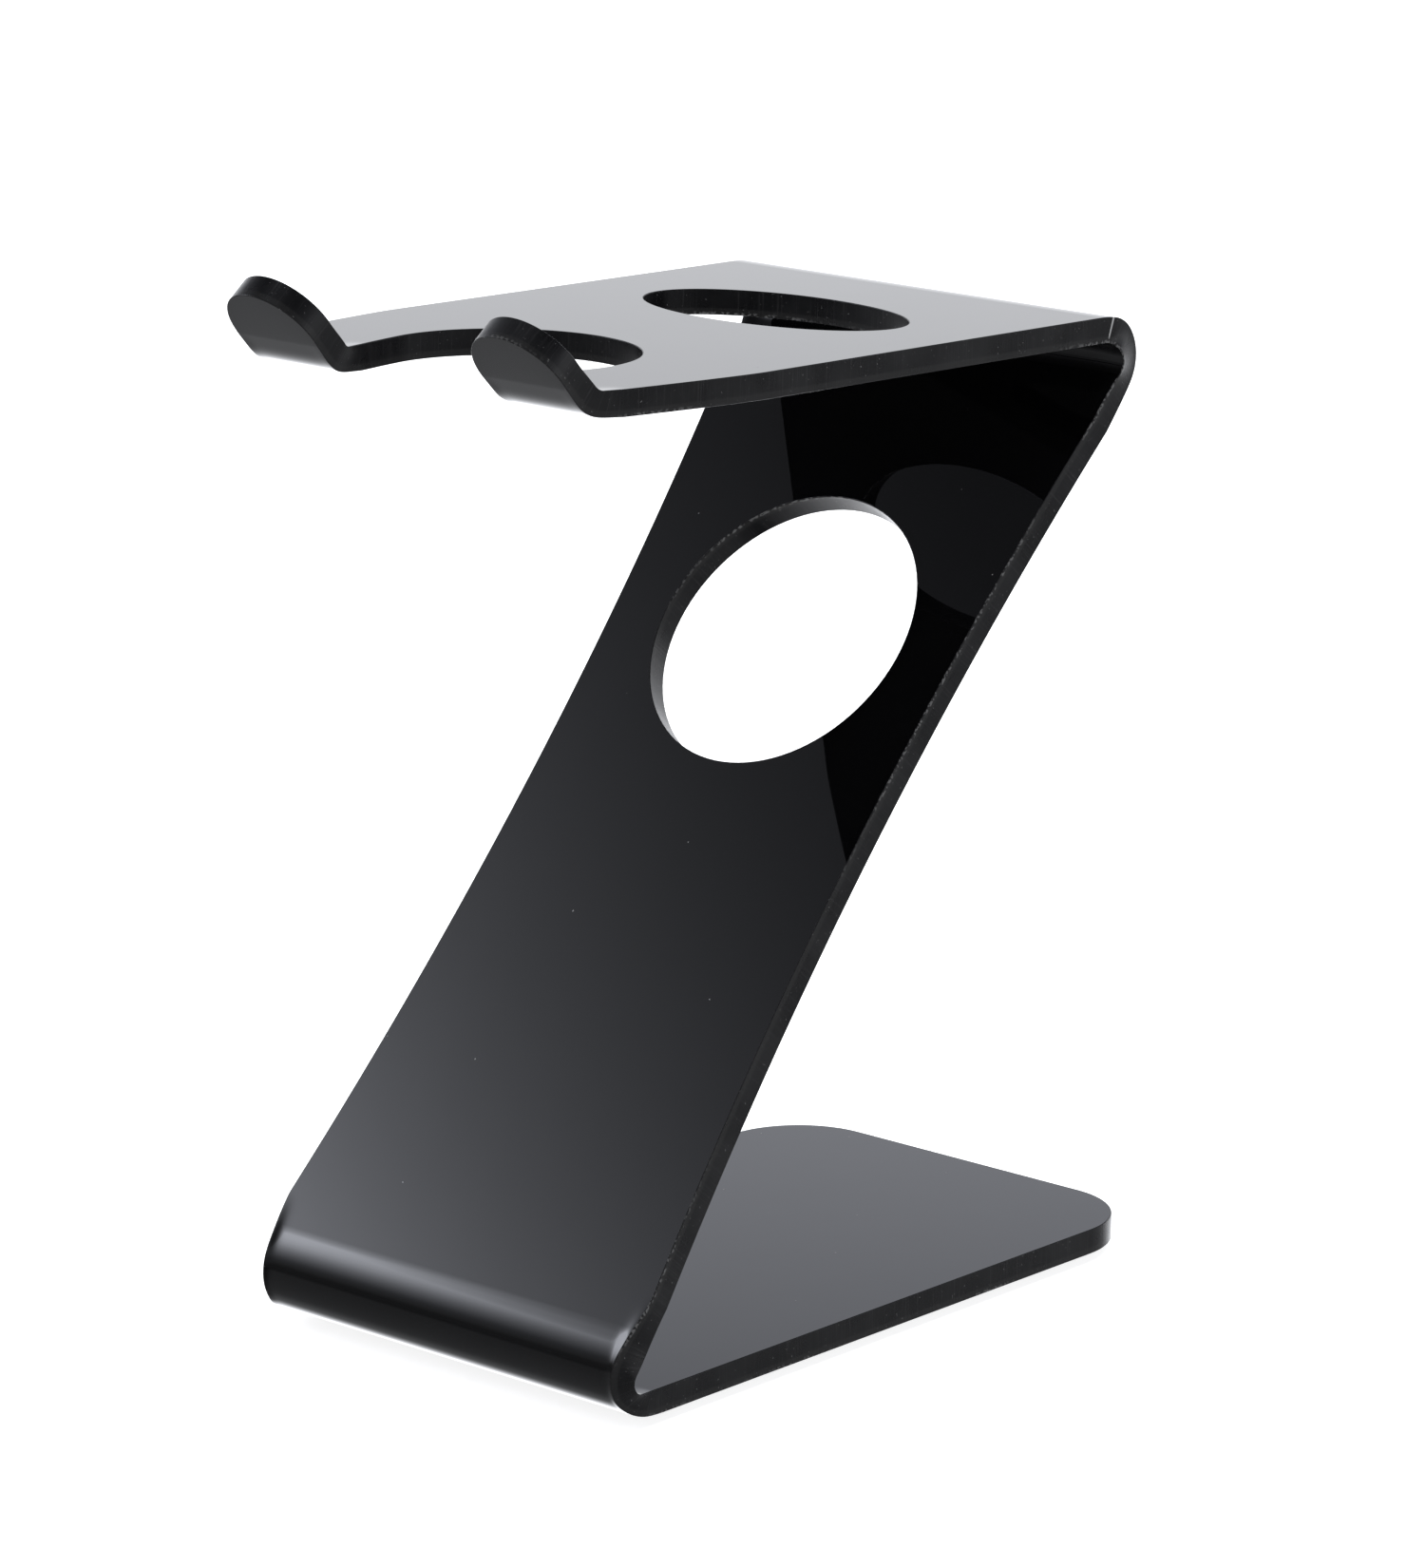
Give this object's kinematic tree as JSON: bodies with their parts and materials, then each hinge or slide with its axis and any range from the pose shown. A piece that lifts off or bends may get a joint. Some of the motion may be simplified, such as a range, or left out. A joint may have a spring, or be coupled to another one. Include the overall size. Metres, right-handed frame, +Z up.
{
  "type": "hair dryer holder",
  "caption": "Bent acrylic stand in the shape of a Z: a flat base, a slanted plate with a round hole, and a shelf whose upturned fingers hold a hair dryer by its handle.",
  "frame": {"origin": "bottom centre of the whole holder, on the surface that it stands on", "axes": "+Z up; +X across the width, which is the direction the holder is mirrored in; -Y towards the front, where the upturned fingers are"},
  "size_m": [0.094, 0.1668, 0.2053],
  "materials": {
    "black_acrylic": "black cast acrylic with polished faces and satin machine-cut edges",
    "pad_rubber": "matt moulded rubber",
    "pad_tape": "pale double-sided foam tape"
  },
  "bodies": {
    "root": {"acrylic_sheet": "black_acrylic", "foot_pad_front_left": "pad_rubber", "foot_pad_front_right": "pad_rubber", "foot_pad_rear_left": "pad_rubber", "foot_pad_rear_right": "pad_rubber", "foot_tape_front_left": "pad_tape", "foot_tape_front_right": "pad_tape", "foot_tape_rear_left": "pad_tape", "foot_tape_rear_right": "pad_tape"}
  },
  "joints": []
}
